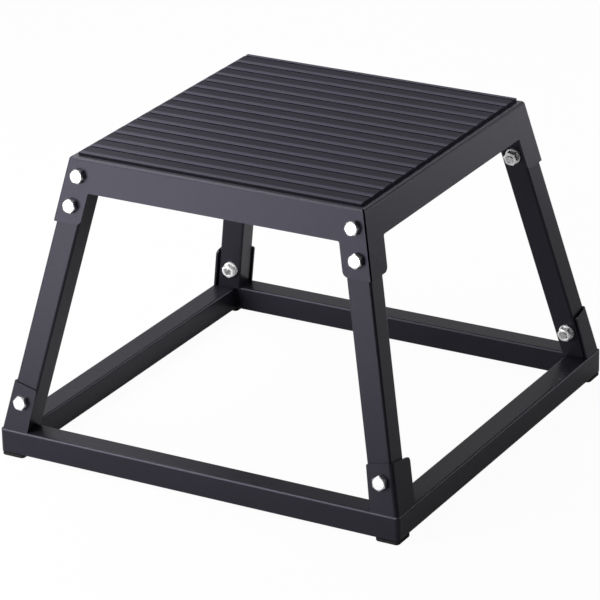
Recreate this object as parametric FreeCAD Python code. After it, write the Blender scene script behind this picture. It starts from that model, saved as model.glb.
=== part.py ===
import FreeCAD, Part
import math
import os

# Plyo box: a ribbed rubber mat on a folded sheet-steel deck, four splayed square-tube
# legs bolted to the deck's corner ears and to brackets welded on a mitred tube base.
# Millimetres. Z is up, the origin is on the floor under the centre, the front faces -Y.

# Overall sizes
total_height = 305.0
base_width = 438.2
base_depth = 436.2
deck_width = 317.0
deck_depth = 329.4
splay_inset = 1.4

# Square tube of the legs and of the base
tube_size = 25.0
tube_wall = 2.0
tube_corner_radius = 2.3
base_corner_radius = 4.5

# Folded deck
sheet_thickness = 2.0
bend_radius = 3.0
flange_drop = 31.9
side_flange_drop = 30.7
ear_drop = 63.4
bolted_ear_margin = 2.1
side_ear_margin = 3.5
ear_corner_radius = 6.5
ear_root_radius = 2.0
corner_seam = 1.8
corner_relief_past_bend = 0.6

# Ribbed mat
mat_inset = 6.5
mat_back_inset = 4.6
mat_thickness = 3.3
first_groove = 18.75
groove_pitch = 20.98
groove_width = 3.2
groove_depth = 1.5
bevel_width = 6.8
bevel_fall = 0.35

# Legs
leg_side_gap = 0.2
leg_top_gap = 3.0

# Brackets on the base, measured up the leg from the base's top
bracket_height = 50.5
bracket_bend_radius = 4.2

# Wings of each bracket, the bolted one and then the side one: how far it reaches past the leg
# at the base, how much narrower it is at its top, and the radius of its corner
bracket_wings = {
    "front_left": ((2.0, 1.7, 3.5), (6.5, 0.0, 4.5)),
    "front_right": ((1.4, 1.5, 1.5), (6.5, 0.0, 4.5)),
    "back_left": ((2.0, 0.0, 1.5), (2.6, 0.0, 4.0)),
    "back_right": ((6.5, 0.0, 4.5), (0.6, 4.2, 1.5)),
}

# Feet
foot_size = 25.0
foot_height = 3.5
foot_inset = 0.5
foot_corner_radius = 4.0
foot_edge_chamfer = 0.6

# Fasteners
bolt_diameter = 8.0
bolt_past_nut = 0.4
bolt_end_chamfer = 0.9
hex_across_flats = 13.0
hex_face_diameter = 11.4
hex_chamfer_angle = 30.0
bolt_head_height = 5.3
nut_height = 6.5
nut_countersink = 0.7
washer_diameter = 16.0
washer_thickness = 1.6
hole_clearance = 0.6
washer_clearance = 0.4
thread_clearance = 0.1
upper_bolt_distance = 15.9
lower_bolt_distance = 46.0
base_bolt_height = 33.0

# How far each corner's bolts sit inwards of the leg's middle, and how far above their usual
# places, from the upper bolt to the base bolt
bolt_inward = {
    "front_left": (0.3, 0.3, 0.4),
    "front_right": (-1.8, -1.7, -1.1),
    "back_left": (2.0, 2.0, 2.0),
    "back_right": (-1.2, -1.2, -1.3),
}
bolt_raised = {
    "front_left": (1.5, 1.3, 0.1),
    "front_right": (0.5, 0.5, 0.0),
    "back_left": (0.7, 0.7, 0.7),
    "back_right": (0.0, 0.0, 3.6),
}

# Turn of each hexagon about its own axis, from the upper bolt to the base bolt
hex_turns = {
    "front_left": (6.0, 0.0, 4.0),
    "front_right": (0.0, 26.0, 24.0),
    "back_left": (14.0, 3.0, 18.0),
    "back_right": (9.0, 21.0, 12.0),
}

# Heights and slopes that follow from the sizes above
deck_top = total_height - mat_thickness
base_top = foot_height + tube_size
splay_height = deck_top - base_top
slope_x = (base_width / 2 - splay_inset - deck_width / 2) / splay_height
slope_y = (base_depth / 2 - splay_inset - deck_depth / 2) / splay_height
leg_distance = splay_height * math.hypot(1, slope_x, slope_y)
bracket_distance = leg_distance - bracket_height
washer_seat = sheet_thickness + tube_size + washer_thickness
nut_seat = washer_seat + nut_height
bolt_length = nut_seat + bolt_past_nut
hole_diameter = bolt_diameter + hole_clearance
corner_relief_depth = bend_radius + corner_relief_past_bend

corners = {
    "front_left": (-1, -1),
    "front_right": (1, -1),
    "back_left": (-1, 1),
    "back_right": (1, 1),
}


def vector(x, y, z):
    return FreeCAD.Vector(x, y, z)


def unit(x, y, z):
    result = vector(x, y, z)
    result.normalize()
    return result


class CornerFrame:
    """Directions of one splayed corner. Distances run down the leg from the deck's top corner."""

    def __init__(self, name):
        self.name = name
        self.side_x, self.side_y = corners[name]
        self.top = vector(self.side_x * deck_width / 2, self.side_y * deck_depth / 2, deck_top)
        self.down = unit(self.side_x * slope_x, self.side_y * slope_y, -1)
        self.out_bolted = unit(0, self.side_y, slope_y)
        self.out_side = unit(self.side_x, 0, slope_x)
        self.along_bolted = self.out_bolted.cross(self.down)
        if self.along_bolted.x * self.side_x > 0:
            self.along_bolted = self.along_bolted * -1
        self.along_side = self.out_side.cross(self.down)
        if self.along_side.y * self.side_y > 0:
            self.along_side = self.along_side * -1
        side_reach = self.along_bolted.dot(self.out_side) * -1
        skin_reach = self.out_bolted.dot(self.out_side) * sheet_thickness
        self.leg_start = (sheet_thickness + leg_side_gap - skin_reach) / side_reach
        self.bolted_cover = self.leg_start + tube_size
        self.side_cover = sheet_thickness + tube_size
        usual = (upper_bolt_distance, lower_bolt_distance, leg_distance - base_bolt_height)
        middle = self.leg_start + tube_size / 2
        self.bolts = []
        for distance, raised, inward in zip(usual, bolt_raised[name], bolt_inward[name]):
            self.bolts.append((distance - raised, middle + inward))

    def skin_point(self, distance, across):
        """A point on the bolted outer skin."""
        return self.top + self.down * distance + self.along_bolted * across

    def bolt_point(self, bolt, depth):
        """A point on a bolt's axis, at a depth below the bolted outer skin."""
        return self.skin_point(*bolt) - self.out_bolted * depth


def filleted(shape, radius, chosen):
    """Round the edges that the chosen test accepts."""
    edges = [edge for edge in shape.Edges if chosen(edge)]
    return shape.makeFillet(radius, edges)


def is_vertical(edge):
    direction = edge.Vertexes[1].Point - edge.Vertexes[0].Point
    return abs(direction.x) + abs(direction.y) < 1e-6


def near_line(point, direction):
    """A test for edges that lie on a line."""

    def test(edge):
        ends = [vertex.Point - point for vertex in edge.Vertexes]
        return len(ends) == 2 and all(end.cross(direction).Length < 1e-4 for end in ends)

    return test


def rounded_bar(size, radius, length):
    """A square bar along Z with rounded long edges, centred on its axis."""
    bar = Part.makeBox(size, size, length, vector(-size / 2, -size / 2, 0))
    return filleted(bar, radius, is_vertical)


def square_tube(length):
    outer = rounded_bar(tube_size, tube_corner_radius, length)
    inner_radius = tube_corner_radius - tube_wall
    inner = rounded_bar(tube_size - 2 * tube_wall, inner_radius, length)
    return outer.cut(inner)


def slab(bottom, top):
    """A wide horizontal slab used to trim sloping pieces."""
    width = base_width * 2
    return Part.makeBox(width, width, top - bottom, vector(-width / 2, -width / 2, bottom))


def bolt_holes(frame, bolts, depth):
    """Clearance holes from outside the bolted skin to a depth behind it."""
    holes = []
    for bolt in bolts:
        start = frame.bolt_point(bolt, -bolt_head_height)
        length = depth + bolt_head_height
        holes.append(Part.makeCylinder(hole_diameter / 2, length, start, frame.out_bolted * -1))
    return holes


def pan_block(skin_depth, radius):
    """The deck's splayed block with rounded top edges, at a depth below the outer skin."""
    top = deck_top - skin_depth
    bottom = deck_top - ear_drop - skin_depth
    rings = []
    for z in (top, bottom):
        drop = deck_top - z
        half_x = deck_width / 2 + slope_x * drop - skin_depth * math.hypot(1, slope_x)
        half_y = deck_depth / 2 + slope_y * drop - skin_depth * math.hypot(1, slope_y)
        points = [
            vector(-half_x, -half_y, z),
            vector(half_x, -half_y, z),
            vector(half_x, half_y, z),
            vector(-half_x, half_y, z),
        ]
        rings.append(Part.makePolygon(points + points[:1]))
    block = Part.makeLoft(rings, True, True)

    def on_top(edge):
        return all(abs(vertex.Point.z - top) < 1e-6 for vertex in edge.Vertexes)

    return filleted(block, radius, on_top)


class EarWindow:
    """The gap between the two ears of one flange. Its sides run with the legs."""

    def __init__(self, half_width, ear_width, slope, other_slope, drop):
        level_width = ear_width * math.hypot(1, slope / math.hypot(1, other_slope))
        self.half_at_top = half_width - level_width
        self.slope = slope
        self.drop = drop

    def half_width(self, drop):
        return self.half_at_top + self.slope * drop

    def outline(self):
        """Corners as pairs of distance across and height."""
        low = ear_drop * 1.5
        return [
            (-self.half_width(self.drop), deck_top - self.drop),
            (self.half_width(self.drop), deck_top - self.drop),
            (self.half_width(low), deck_top - low),
            (-self.half_width(low), deck_top - low),
        ]


def top_deck():
    pan = pan_block(0, bend_radius)
    pan = pan.cut(pan_block(sheet_thickness, bend_radius - sheet_thickness))

    sample = CornerFrame("front_right")
    bolted_ear = sample.bolted_cover + bolted_ear_margin
    side_ear = sample.side_cover + side_ear_margin
    bolted = EarWindow(deck_width / 2, bolted_ear, slope_x, slope_y, flange_drop)
    side = EarWindow(deck_depth / 2, side_ear, slope_y, slope_x, side_flange_drop)
    points = [vector(across, -base_depth, z) for across, z in bolted.outline()]
    face = Part.Face(Part.makePolygon(points + points[:1]))
    pan = pan.cut(face.extrude(vector(0, base_depth * 2, 0)))
    points = [vector(-base_width, across, z) for across, z in side.outline()]
    face = Part.Face(Part.makePolygon(points + points[:1]))
    pan = pan.cut(face.extrude(vector(base_width * 2, 0, 0)))

    for name in corners:
        frame = CornerFrame(name)
        pan = pan.cut(bolt_holes(frame, frame.bolts[:2], tube_size / 2))
        pan = pan.cut(seam_cutter(frame))

    def corner_of(window, drop):
        """A test for the short edges through the sheet at a window's corners."""

        def test(edge):
            centre = edge.CenterOfMass
            across = centre.x if window is bolted else centre.y
            at_height = abs(centre.z - (deck_top - drop)) < sheet_thickness / 2
            short = edge.Length < sheet_thickness * 1.5
            return at_height and short and abs(abs(across) - window.half_width(drop)) < 1e-3

        return test

    for window in (bolted, side):
        pan = filleted(pan, ear_root_radius, corner_of(window, window.drop))
        pan = filleted(pan, ear_corner_radius, corner_of(window, ear_drop))
    return pan


def seam_cutter(frame):
    """The open seam where two flanges meet, running up into a relief in the plate's corner."""
    outward = frame.out_bolted + frame.out_side
    outward.normalize()
    sideways = frame.down.cross(outward)
    reach = bend_radius * 2
    start = frame.top - frame.down * reach - outward * corner_relief_depth
    start = start - sideways * (corner_seam / 2)
    points = [start]
    points.append(points[0] + sideways * corner_seam)
    points.append(points[1] + outward * (corner_relief_depth + reach))
    points.append(points[0] + outward * (corner_relief_depth + reach))
    face = Part.Face(Part.makePolygon(points + points[:1]))
    return face.extrude(frame.down * (ear_drop * 1.5))


def top_mat():
    """A mat with low ribs across it: a flat top, a bevel towards the front, then a groove."""
    width = deck_width - 2 * mat_inset
    front = mat_inset - deck_depth / 2
    back = deck_depth / 2 - mat_back_inset
    bevel_start = total_height - bevel_fall
    groove_floor = total_height - groove_depth
    steps = int((back - front - first_groove - groove_width) / groove_pitch)
    grooves = [front + first_groove + groove_pitch * step for step in range(steps + 1)]
    outline = [(front, deck_top), (front, bevel_start)]
    outline.append((front + bevel_width, total_height))
    for centre in grooves:
        outline.append((centre - groove_width / 2, total_height))
        outline.append((centre - groove_width / 2, groove_floor))
        outline.append((centre + groove_width / 2, groove_floor))
        outline.append((centre + groove_width / 2, bevel_start))
        rise_end = centre + groove_width / 2 + bevel_width
        if rise_end < back:
            outline.append((rise_end, total_height))
    last_rise = (back - grooves[-1] - groove_width / 2) / bevel_width
    outline.append((back, bevel_start + bevel_fall * min(1, last_rise)))
    outline.append((back, deck_top))
    points = [vector(-width / 2, y, z) for y, z in outline]
    face = Part.Face(Part.makePolygon(points + points[:1]))
    return face.extrude(vector(width, 0, 0))


def leg(name):
    frame = CornerFrame(name)
    tube = square_tube(splay_height * 1.5)
    across = frame.leg_start + tube_size / 2
    depth = sheet_thickness + tube_size / 2
    start = frame.skin_point(-splay_height * 0.2, across) - frame.out_bolted * depth
    turn = FreeCAD.Rotation(frame.along_bolted, vector(0, 0, 0), frame.down, "ZXY")
    tube.Placement = FreeCAD.Placement(start, turn)
    tube = tube.common(slab(base_top, deck_top - sheet_thickness - leg_top_gap))
    return tube.cut(bolt_holes(frame, frame.bolts, sheet_thickness + tube_size * 1.5))


def rail_shape(along_x, side, blank):
    """Place a bar or tube on one side of the base and mitre its ends."""
    length = base_width if along_x else base_depth
    offset = (base_depth if along_x else base_width) / 2
    blank.Placement = FreeCAD.Placement(
        vector(-length / 2, side * (offset - tube_size / 2), foot_height + tube_size / 2),
        FreeCAD.Rotation(vector(0, 1, 0), 90),
    )
    outer = side * offset
    inner = side * (offset - tube_size)
    points = [
        vector(-length / 2, outer, 0),
        vector(length / 2, outer, 0),
        vector(length / 2 - tube_size, inner, 0),
        vector(-length / 2 + tube_size, inner, 0),
    ]
    face = Part.Face(Part.makePolygon(points + points[:1]))
    rail = blank.common(face.extrude(vector(0, 0, total_height)))
    if not along_x:
        rail.rotate(vector(0, 0, 0), vector(0, 0, 1), -90)
    return rail.common(base_outline())


def base_outline():
    """A block over the whole base, its corners rounded as the ground welds are."""
    block = Part.makeBox(base_width, base_depth, total_height, vector(-base_width / 2, -base_depth / 2, 0))
    return filleted(block, base_corner_radius, is_vertical)


def base_rail(along_x, side):
    length = base_width if along_x else base_depth
    return rail_shape(along_x, side, square_tube(length))


def solid_base():
    """The base's outer form without its hollow."""
    bars = []
    for along_x in (True, False):
        length = base_width if along_x else base_depth
        for side in (-1, 1):
            bar = rounded_bar(tube_size, tube_corner_radius, length)
            bars.append(rail_shape(along_x, side, bar))
    return bars


class BracketWing:
    """One wing of a bracket: its directions, its widths at the top and at the lower end, its corner."""

    def __init__(self, along, outward, cover, sizes):
        margin, taper, self.radius = sizes
        self.along = along
        self.outward = outward
        self.top_width = cover + margin - taper
        self.low_width = cover + margin + taper * tube_size / 2 / bracket_height


def wings_of(frame):
    """The bolted wing and the side wing of one corner's bracket."""
    bolted, side = bracket_wings[frame.name]
    return (
        BracketWing(frame.along_bolted, frame.out_bolted, frame.bolted_cover, bolted),
        BracketWing(frame.along_side, frame.out_side, frame.side_cover, side),
    )


def wing_trim(frame, fold, wing):
    """What is cut off a wing's end so that it narrows towards its top."""
    drop = frame.down * (bracket_height + tube_size / 2)
    reach = wing.along * tube_size
    points = [
        fold + wing.along * wing.top_width,
        fold + wing.along * wing.low_width + drop,
        fold + wing.along * wing.low_width + reach + drop,
        fold + wing.along * wing.top_width + reach,
    ]
    points = [point - wing.outward * (sheet_thickness * 2) for point in points]
    face = Part.Face(Part.makePolygon(points + points[:1]))
    return face.extrude(wing.outward * (sheet_thickness * 3))


def corner_bracket(name):
    """A bent angle with two wings, cut to the form of the rails it is welded on."""
    frame = CornerFrame(name)
    bolted, side = wings_of(frame)
    fold = frame.top + frame.down * bracket_distance
    spread = 1 + frame.out_bolted.dot(frame.out_side)
    inner_fold = fold - (frame.out_bolted + frame.out_side) * (sheet_thickness / spread)
    bolted_end = fold + bolted.along * bolted.low_width
    side_end = fold + side.along * side.low_width
    points = [
        fold,
        bolted_end,
        bolted_end - bolted.outward * sheet_thickness,
        inner_fold,
        side_end - side.outward * sheet_thickness,
        side_end,
    ]
    face = Part.Face(Part.makePolygon(points + points[:1]))
    bracket = face.extrude(frame.down * (bracket_height + tube_size / 2))
    for wing in (bolted, side):
        if wing.top_width < wing.low_width:
            bracket = bracket.cut(wing_trim(frame, fold, wing))
    bracket = filleted(bracket, bracket_bend_radius, near_line(fold, frame.down))
    inner_radius = bracket_bend_radius - sheet_thickness
    bracket = filleted(bracket, inner_radius, near_line(inner_fold, frame.down))
    for wing in (bolted, side):
        end = fold + wing.along * wing.top_width
        bracket = filleted(bracket, wing.radius, near_line(end, wing.outward))
    bracket = bracket.common(slab(base_top - tube_corner_radius, total_height))
    bracket = bracket.cut(solid_base())
    return bracket.cut(bolt_holes(frame, frame.bolts[2:], tube_size / 2))


def foot(name):
    side_x, side_y = corners[name]
    pad = rounded_bar(foot_size, foot_corner_radius, foot_height)
    lower = [edge for edge in pad.Edges if edge.BoundBox.ZMax < foot_edge_chamfer]
    pad = pad.makeChamfer(foot_edge_chamfer, lower)
    reach = foot_inset + foot_size / 2
    pad.translate(vector(side_x * (base_width / 2 - reach), side_y * (base_depth / 2 - reach), 0))
    return pad


def hexagon(height, both_ends):
    """A hexagonal prism along Z, its corners turned off at the upper end or at both ends."""
    corner_radius = hex_across_flats / 2 / math.cos(math.radians(30))
    points = []
    for step in range(6):
        angle = math.radians(60 * step)
        points.append(vector(corner_radius * math.cos(angle), corner_radius * math.sin(angle), 0))
    face = Part.Face(Part.makePolygon(points + points[:1]))
    prism = face.extrude(vector(0, 0, height))
    face_radius = hex_face_diameter / 2
    wide_radius = face_radius + height / math.tan(math.radians(hex_chamfer_angle))
    prism = prism.common(Part.makeCone(wide_radius, face_radius, height))
    if both_ends:
        prism = prism.common(Part.makeCone(face_radius, wide_radius, height))
    return prism


def fastener_placement(frame, bolt_place, depth, turn):
    """Stand a turned piece on the bolt's axis, its Z pointing out of the bolted skin."""
    axes = FreeCAD.Rotation(frame.along_bolted, vector(0, 0, 0), frame.out_bolted, "ZXY")
    spin = FreeCAD.Rotation(vector(0, 0, 1), turn)
    return FreeCAD.Placement(frame.bolt_point(bolt_place, depth), axes.multiply(spin))


def bolt():
    head = hexagon(bolt_head_height, False)
    plain = bolt_length - bolt_end_chamfer
    shank = Part.makeCylinder(bolt_diameter / 2, plain, vector(0, 0, -plain))
    end_radius = bolt_diameter / 2 - bolt_end_chamfer
    end = Part.makeCone(end_radius, bolt_diameter / 2, bolt_end_chamfer, vector(0, 0, -bolt_length))
    return head.fuse([shank, end]).removeSplitter()


def washer():
    bore = (bolt_diameter + washer_clearance) / 2
    ring = Part.makeCylinder(washer_diameter / 2, washer_thickness)
    return ring.cut(Part.makeCylinder(bore, washer_thickness))


def nut():
    bore = (bolt_diameter + thread_clearance) / 2
    mouth = bore + nut_countersink
    lower = Part.makeCone(mouth, bore, nut_countersink)
    upper = Part.makeCone(bore, mouth, nut_countersink, vector(0, 0, nut_height - nut_countersink))
    return hexagon(nut_height, True).cut([Part.makeCylinder(bore, nut_height), lower, upper])


def fasteners(name, make_piece, depth):
    """The three like pieces of one corner, each on its own bolt axis."""
    frame = CornerFrame(name)
    pieces = []
    for bolt_place, turn in zip(frame.bolts, hex_turns[name]):
        piece = make_piece()
        piece.Placement = fastener_placement(frame, bolt_place, depth, turn)
        pieces.append(piece)
    return Part.makeCompound(pieces)


def save(node, shape):
    shape.exportStep("parts/" + node + ".step")


os.makedirs("parts", exist_ok=True)
save("top_deck", top_deck())
save("top_mat", top_mat())
save("base_rail_front", base_rail(True, -1))
save("base_rail_back", base_rail(True, 1))
save("base_rail_left", base_rail(False, -1))
save("base_rail_right", base_rail(False, 1))
for corner in corners:
    save("leg_" + corner, leg(corner))
    save("corner_bracket_" + corner, corner_bracket(corner))
    save("foot_" + corner, foot(corner))
    save("bolts_" + corner, fasteners(corner, bolt, 0))
    save("washers_" + corner, fasteners(corner, washer, washer_seat))
    save("nuts_" + corner, fasteners(corner, nut, nut_seat))
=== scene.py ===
import math

import bpy
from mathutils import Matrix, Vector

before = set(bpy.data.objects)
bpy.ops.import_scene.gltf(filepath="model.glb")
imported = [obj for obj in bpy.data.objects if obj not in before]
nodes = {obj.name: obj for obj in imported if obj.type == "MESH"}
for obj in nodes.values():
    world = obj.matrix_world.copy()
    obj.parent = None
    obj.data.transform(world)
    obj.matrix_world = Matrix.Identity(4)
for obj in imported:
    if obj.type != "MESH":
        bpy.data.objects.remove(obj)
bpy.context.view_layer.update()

# The mat's ribs run along X and repeat along Y, counted from the origin below. In metres, as
# the part has them.
RIB_PITCH = 0.02098
RIB_ORIGIN = -0.1422
MAT_BOTTOM = 0.3017
MAT_THICKNESS = 0.0033

# Linear colours
WHITE = (1.0, 1.0, 1.0)
DECK_BLACK = (0.0195, 0.0185, 0.027)
FRAME_BLACK = (0.0178, 0.0169, 0.0228)
MAT_BLACK = (0.0215, 0.0206, 0.0322)
# Colour of the painted highlight band on the ribs' front slopes
MAT_HIGHLIGHT_BAND = (0.092, 0.088, 0.118)
PAD_BLACK = (0.007, 0.007, 0.0075)
# The bolts' zinc is darker than bare zinc: painted shade that keeps the heads from going white
BOLT_ZINC_SHADED = (0.56, 0.565, 0.575)
# The nuts' and washers' zinc is paler and more diffuse: a painted reflection of the white floor
NUT_ZINC_BRIGHTENED = (0.97, 0.972, 0.975)
FLOOR_GREY = (0.8, 0.8, 0.8)
# Hue of the painted highlight on the coat's upper bends
BEND_HIGHLIGHT_HUE = (0.95, 0.93, 1.15)
HIGHLIGHT_TINT = (0.84, 0.81, 1.0)
BACK_RIGHT_TINT = (0.95, 0.93, 1.0)

# Where the coat is paler as a painted highlight, by how far the surface faces up: the deck's
# bends and its rim around the mat, and only the rounded upper corners of the tubes
DECK_RIM_HIGHLIGHT = [(0.4, 0.0), (0.55, 1.0)]
TUBE_CORNER_HIGHLIGHT = [(0.4, 0.0), (0.55, 1.0), (0.74, 1.0), (0.88, 0.0)]

# Tones of the mat along one rib spacing: the pale band on the rib's front slope, a painted
# highlight;
# the walls across the ribs, with painted light on the groove's visible wall and painted shade on
# the rest; and the shade over the groove
RIB_HIGHLIGHT_BAND = [(0.21, 0.0), (0.216, 1.0), (0.26, 1.0), (0.32, 0.76), (0.46, 0.78), (0.53, 0.0)]
WALL_LIGHT_AND_SHADE = [(0.19, 0.3), (0.2, 1.6), (0.212, 1.6), (0.22, 0.3)]
GROOVE_SHADE = [(0.05, 1.0), (0.055, 0.6), (0.2, 0.6), (0.205, 1.0)]
# Tone of the mat's left and right edges, from the deck up: painted light along the foot and
# painted shade above it
MAT_EDGE_LIGHT_AND_SHADE = [(0.5, 3.0), (0.62, 0.3)]

# White that the camera sees on the floor, beside the shadow, and the share of white that glossy
# rays see there, by the distance from the part's middle in metres, and in the world. The lower
# share near the part is a painted shadow in the floor's reflections
FLOOR_WHITE = 0.965
FLOOR_MIRROR_PAINTED_SHADOW = [(0.30, 0.24), (0.75, 0.42)]
WORLD_MIRROR = 0.03
FLOOR_HALF = 8.0

# Distance of the softboxes from the point that they face, and that point's height, in metres
FAR, NEAR = 1.7, 0.9
MIDDLE_HEIGHT, LEG_HEIGHT = 0.15, 0.22

# Camera fitted to the photograph's straight edges
CAMERA_PLACE = (1.618860, -2.817692, 1.485806)
CAMERA_TURN = (67.23476, 1.18510, 29.45989)
CAMERA_LENS = 215.537
CAMERA_SENSOR = 36.0
CAMERA_REACH = 100.0


class Graph:
    """Short calls for building one material's node tree."""

    def __init__(self, name):
        self.material = bpy.data.materials.new(name)
        self.material.use_nodes = True
        self.tree = self.material.node_tree
        self.tree.nodes.clear()
        self.output = self.add("ShaderNodeOutputMaterial")

    def add(self, kind, **settings):
        node = self.tree.nodes.new(kind)
        for key, value in settings.items():
            setattr(node, key, value)
        return node

    def link(self, source, target):
        self.tree.links.new(source, target)

    def feed(self, socket, value):
        """Links an output, or sets a colour or a number."""
        if hasattr(value, "is_linked"):
            self.link(value, socket)
        elif hasattr(value, "__len__"):
            socket.default_value = (*value[:3], 1.0)
        else:
            socket.default_value = value

    def place(self):
        return self.add("ShaderNodeTexCoord").outputs["Object"]

    def facing(self):
        return self.parts(self.add("ShaderNodeTexCoord").outputs["Normal"])

    def parts(self, vector):
        node = self.add("ShaderNodeSeparateXYZ")
        self.link(vector, node.inputs["Vector"])
        return node.outputs

    def noise(self, place, scale, detail, roughness):
        node = self.add("ShaderNodeTexNoise")
        node.inputs["Scale"].default_value = scale
        node.inputs["Detail"].default_value = detail
        node.inputs["Roughness"].default_value = roughness
        self.link(place, node.inputs["Vector"])
        return node.outputs["Fac"]

    def ramp(self, factor, stops):
        node = self.add("ShaderNodeValToRGB")
        ramp = node.color_ramp
        while len(ramp.elements) < len(stops):
            ramp.elements.new(0.5)
        for element, (position, value) in zip(ramp.elements, stops):
            element.position = position
            colour = value if hasattr(value, "__len__") else (value, value, value)
            element.color = (*colour, 1.0)
        self.link(factor, node.inputs["Fac"])
        return node.outputs["Color"]

    def math(self, operation, first, second=None):
        node = self.add("ShaderNodeMath", operation=operation)
        self.feed(node.inputs[0], first)
        if second is not None:
            self.feed(node.inputs[1], second)
        return node.outputs["Value"]

    def mix_colour(self, factor, first, second, blend="MIX"):
        node = self.add("ShaderNodeMix", data_type="RGBA", blend_type=blend)
        # Of this node's sockets, these are the factor and the two colours
        for index, value in ((0, factor), (6, first), (7, second)):
            self.feed(node.inputs[index], value)
        return node.outputs[2]

    def bump(self, height, strength, distance, normal=None):
        node = self.add("ShaderNodeBump")
        node.inputs["Strength"].default_value = strength
        node.inputs["Distance"].default_value = distance
        self.link(height, node.inputs["Height"])
        if normal is not None:
            self.link(normal, node.inputs["Normal"])
        return node.outputs["Normal"]

    def principled(self, **values):
        node = self.add("ShaderNodeBsdfPrincipled")
        for key, value in values.items():
            self.feed(node.inputs[key.replace("_", " ")], value)
        self.link(node.outputs["BSDF"], self.output.inputs["Surface"])


def shade(colour, factor):
    return tuple(channel * factor for channel in colour)


def powder_coat(name, colour, gloss, bend_highlight_tone, bend_highlight_stops):
    """Satin black powder coat: fine orange-peel grain, slow drifts of tone, and a painted
    highlight on the upper bends.
    """
    g = Graph(name)
    place = g.place()
    fine = g.noise(place, 1500.0, 2.0, 0.6)
    peel = g.noise(place, 420.0, 3.0, 0.55)
    slow = g.noise(place, 14.0, 3.0, 0.5)
    tone = g.ramp(slow, [(0.3, shade(colour, 0.95)), (0.7, shade(colour, 1.05))])
    # Painted highlight: a paler tone where the surface faces partly up
    bend_highlight = g.ramp(g.facing()["Z"], bend_highlight_stops)
    tone = g.mix_colour(bend_highlight, tone, shade(BEND_HIGHLIGHT_HUE, bend_highlight_tone))
    grain = g.ramp(fine, [(0.3, 0.9), (0.7, 1.1)])
    base = g.mix_colour(1.0, tone, grain, "MULTIPLY")
    rough = g.ramp(peel, [(0.3, 0.27), (0.7, 0.33)])
    normal = g.bump(peel, 0.12, 0.0004)
    normal = g.bump(fine, 0.08, 0.0002, normal)
    g.principled(Base_Color=base, Roughness=rough, Normal=normal, Specular_IOR_Level=gloss,
                 Specular_Tint=HIGHLIGHT_TINT)
    return g.material


def ribbed_rubber(name, colour, highlight_band_colour):
    """Black rubber with a painted highlight as a paler band along the front slope of each rib,
    and painted shade and painted light on its walls and side edges.
    """
    g = Graph(name)
    place = g.place()
    along = g.parts(place)
    facing = g.facing()
    shifted = g.math("SUBTRACT", along["Y"], RIB_ORIGIN)
    # Whole ribs are added first, so that the count stays above zero
    phase = g.math("FRACT", g.math("ADD", g.math("DIVIDE", shifted, RIB_PITCH), 10.0))
    # Painted highlight: the pale band on each rib's front slope
    highlight_band = g.ramp(phase, RIB_HIGHLIGHT_BAND)
    # Painted light on the groove's visible wall, painted shade on the mat's other walls
    wall_light_and_shade = g.ramp(phase, WALL_LIGHT_AND_SHADE)
    open_top = g.ramp(phase, GROOVE_SHADE)
    fine = g.noise(place, 1300.0, 2.0, 0.6)
    slow = g.noise(place, 18.0, 3.0, 0.5)
    plain = g.ramp(slow, [(0.3, shade(colour, 0.93)), (0.7, shade(colour, 1.07))])
    upper = g.ramp(facing["Z"], [(0.7, 0.0), (0.9, 1.0)])
    rise = g.math("DIVIDE", g.math("SUBTRACT", along["Z"], MAT_BOTTOM), MAT_THICKNESS)
    # Painted light along the foot of the side edges, painted shade above it
    edge_light_and_shade = g.ramp(rise, MAT_EDGE_LIGHT_AND_SHADE)
    sideways = g.ramp(g.math("ABSOLUTE", facing["X"]), [(0.6, 0.0), (0.8, 1.0)])
    # The walls and side edges get their painted light and shade here
    sides = g.mix_colour(1.0, colour, g.mix_colour(sideways, wall_light_and_shade, edge_light_and_shade), "MULTIPLY")
    tone = g.mix_colour(upper, sides, g.mix_colour(highlight_band, plain, highlight_band_colour))
    grain = g.ramp(fine, [(0.3, 0.88), (0.7, 1.12)])
    base = g.mix_colour(1.0, g.mix_colour(1.0, tone, open_top, "MULTIPLY"), grain, "MULTIPLY")
    rough = g.ramp(fine, [(0.3, 0.42), (0.7, 0.52)])
    normal = g.bump(fine, 0.12, 0.0003)
    g.principled(Base_Color=base, Roughness=rough, Normal=normal, Specular_IOR_Level=0.06,
                 Specular_Tint=HIGHLIGHT_TINT)
    return g.material


def plain_rubber(name, colour):
    """Matte rubber with an uneven grain."""
    g = Graph(name)
    fine = g.noise(g.place(), 900.0, 3.0, 0.6)
    base = g.ramp(fine, [(0.3, shade(colour, 0.8)), (0.7, shade(colour, 1.2))])
    rough = g.ramp(fine, [(0.3, 0.7), (0.7, 0.85)])
    normal = g.bump(fine, 0.2, 0.0003)
    g.principled(Base_Color=base, Roughness=rough, Normal=normal, Specular_IOR_Level=0.3)
    return g.material


def zinc_plate(name, colour, metallic):
    """Bright zinc with a fine grain and a slightly uneven gloss."""
    g = Graph(name)
    place = g.place()
    fine = g.noise(place, 2200.0, 2.0, 0.5)
    patch = g.noise(place, 260.0, 3.0, 0.6)
    base = g.ramp(patch, [(0.3, shade(colour, 0.93)), (0.7, colour)])
    rough = g.ramp(patch, [(0.3, 0.24), (0.7, 0.36)])
    normal = g.bump(fine, 0.05, 0.0001)
    g.principled(Base_Color=base, Metallic=metallic, Roughness=rough, Normal=normal)
    return g.material


def dress(prefix, material):
    for name, node in nodes.items():
        if name.startswith(prefix):
            node.data.materials.clear()
            node.data.materials.append(material)


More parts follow.
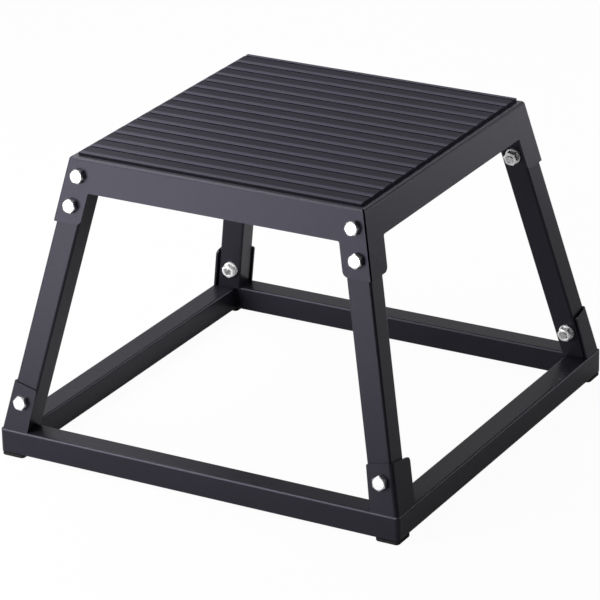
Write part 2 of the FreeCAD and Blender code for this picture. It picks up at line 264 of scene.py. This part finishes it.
def add_floor():
    """A diffuse floor that is nearly white to the camera and keeps a faint shadow; the white that
    glossy rays see is lower near the part, a painted shadow in its reflections.
    """
    mesh = bpy.data.meshes.new("floor")
    corners = [(-FLOOR_HALF, -FLOOR_HALF, 0), (FLOOR_HALF, -FLOOR_HALF, 0),
               (FLOOR_HALF, FLOOR_HALF, 0), (-FLOOR_HALF, FLOOR_HALF, 0)]
    mesh.from_pydata(corners, [], [(0, 1, 2, 3)])
    floor = bpy.data.objects.new("floor", mesh)
    bpy.context.scene.collection.objects.link(floor)
    g = Graph("floor_white")
    diffuse = g.add("ShaderNodeBsdfDiffuse")
    g.feed(diffuse.inputs["Color"], FLOOR_GREY)
    white = g.add("ShaderNodeEmission")
    g.feed(white.inputs["Color"], WHITE)
    white.inputs["Strength"].default_value = 1.0
    seen = g.add("ShaderNodeLightPath").outputs
    spot = g.add("ShaderNodeVectorMath", operation="LENGTH")
    g.link(g.place(), spot.inputs[0])
    # Painted shadow: glossy rays see less white near the part
    mirror_share_painted_shadow = g.ramp(spot.outputs["Value"], FLOOR_MIRROR_PAINTED_SHADOW)
    mirrored = g.math("MULTIPLY", seen["Is Glossy Ray"], mirror_share_painted_shadow)
    direct = g.math("MAXIMUM", seen["Is Camera Ray"], seen["Is Transmission Ray"])
    share = g.math("MAXIMUM", mirrored, g.math("MULTIPLY", direct, FLOOR_WHITE))
    mix = g.add("ShaderNodeMixShader")
    g.link(share, mix.inputs["Fac"])
    g.link(diffuse.outputs["BSDF"], mix.inputs[1])
    g.link(white.outputs["Emission"], mix.inputs[2])
    g.link(mix.outputs["Shader"], g.output.inputs["Surface"])
    mesh.materials.append(g.material)


def add_world():
    """White to the camera, and dim to glossy rays. It lights nothing else."""
    world = bpy.data.worlds.new("studio")
    bpy.context.scene.world = world
    world.use_nodes = True
    tree = world.node_tree
    background = tree.nodes["Background"]
    background.inputs["Color"].default_value = (*WHITE, 1.0)
    seen = tree.nodes.new("ShaderNodeLightPath").outputs
    direct = tree.nodes.new("ShaderNodeMath")
    direct.operation = "MAXIMUM"
    tree.links.new(seen["Is Camera Ray"], direct.inputs[0])
    tree.links.new(seen["Is Transmission Ray"], direct.inputs[1])
    mirrored = tree.nodes.new("ShaderNodeMath")
    mirrored.operation = "MULTIPLY_ADD"
    tree.links.new(seen["Is Glossy Ray"], mirrored.inputs[0])
    mirrored.inputs[1].default_value = WORLD_MIRROR
    tree.links.new(direct.outputs["Value"], mirrored.inputs[2])
    tree.links.new(mirrored.outputs["Value"], background.inputs["Strength"])


def add_softbox(name, azimuth, elevation, power, side=1.0, distance=FAR, height=MIDDLE_HEIGHT,
                colour=WHITE):
    """A square light, of a power in watts, that faces the part from a direction in degrees."""
    data = bpy.data.lights.new(name, "AREA")
    data.shape = "RECTANGLE"
    data.size = side
    data.size_y = side
    data.energy = power
    data.color = colour
    lamp = bpy.data.objects.new(name, data)
    turn, rise = math.radians(azimuth), math.radians(elevation)
    level = distance * math.cos(rise)
    target = Vector((0, 0, height))
    offset = (level * math.cos(turn), level * math.sin(turn), distance * math.sin(rise))
    lamp.location = target + Vector(offset)
    lamp.rotation_euler = (target - lamp.location).to_track_quat("-Z", "Y").to_euler()
    lamp.visible_camera = False
    bpy.context.scene.collection.objects.link(lamp)


def add_camera():
    data = bpy.data.cameras.new("camera")
    data.sensor_width = CAMERA_SENSOR
    data.lens = CAMERA_LENS
    data.clip_end = CAMERA_REACH
    camera = bpy.data.objects.new("camera", data)
    camera.location = CAMERA_PLACE
    camera.rotation_euler = [math.radians(angle) for angle in CAMERA_TURN]
    bpy.context.scene.collection.objects.link(camera)
    bpy.context.scene.camera = camera


# The last two values give the painted highlight on the upper bends: its tone and where it falls
deck_coat = powder_coat("deck_coat", DECK_BLACK, 0.138, 0.075, DECK_RIM_HIGHLIGHT)
dress("top_deck", deck_coat)
frame_coat = powder_coat("frame_coat", FRAME_BLACK, 0.122, 0.1, TUBE_CORNER_HIGHLIGHT)
dress("leg_", frame_coat)
dress("base_rail_", frame_coat)
dress("corner_bracket_", frame_coat)
dress("top_mat", ribbed_rubber("mat_rubber", MAT_BLACK, MAT_HIGHLIGHT_BAND))
dress("foot_", plain_rubber("foot_rubber", PAD_BLACK))
dress("bolts_", zinc_plate("zinc_bolts", BOLT_ZINC_SHADED, 0.8))
# Nuts and washers get the paler zinc, its painted reflection of the floor
brightened_zinc = zinc_plate("zinc_nuts", NUT_ZINC_BRIGHTENED, 0.3)
dress("washers_", brightened_zinc)
dress("nuts_", brightened_zinc)

add_floor()
add_world()
add_softbox("key_front_left", 240, 8, 27.0)
add_softbox("back_right", 60, 8, 6.4, colour=BACK_RIGHT_TINT)
add_softbox("back", 120, 8, 2.2)
add_softbox("back_high_right", 75, 36, 1.0, 0.7)
add_softbox("back_high", 100, 36, 1.5, 0.7)
add_softbox("back_left_high", 150, 40, 5.5, 0.7)
add_softbox("left_top", 180, 62, 9.0, 0.7)
add_softbox("front_left_top", 216, 55, 8.0, 0.7)
add_softbox("front_left_upper", 236, 34, 3.0, 0.7)
add_softbox("front_left_near", 230, 6, 1.2, 0.5, NEAR, LEG_HEIGHT)
add_softbox("back_left_near", 150, 30, 0.6, 0.5, NEAR, LEG_HEIGHT)
add_camera()

scene = bpy.context.scene
scene.view_settings.view_transform = "Standard"
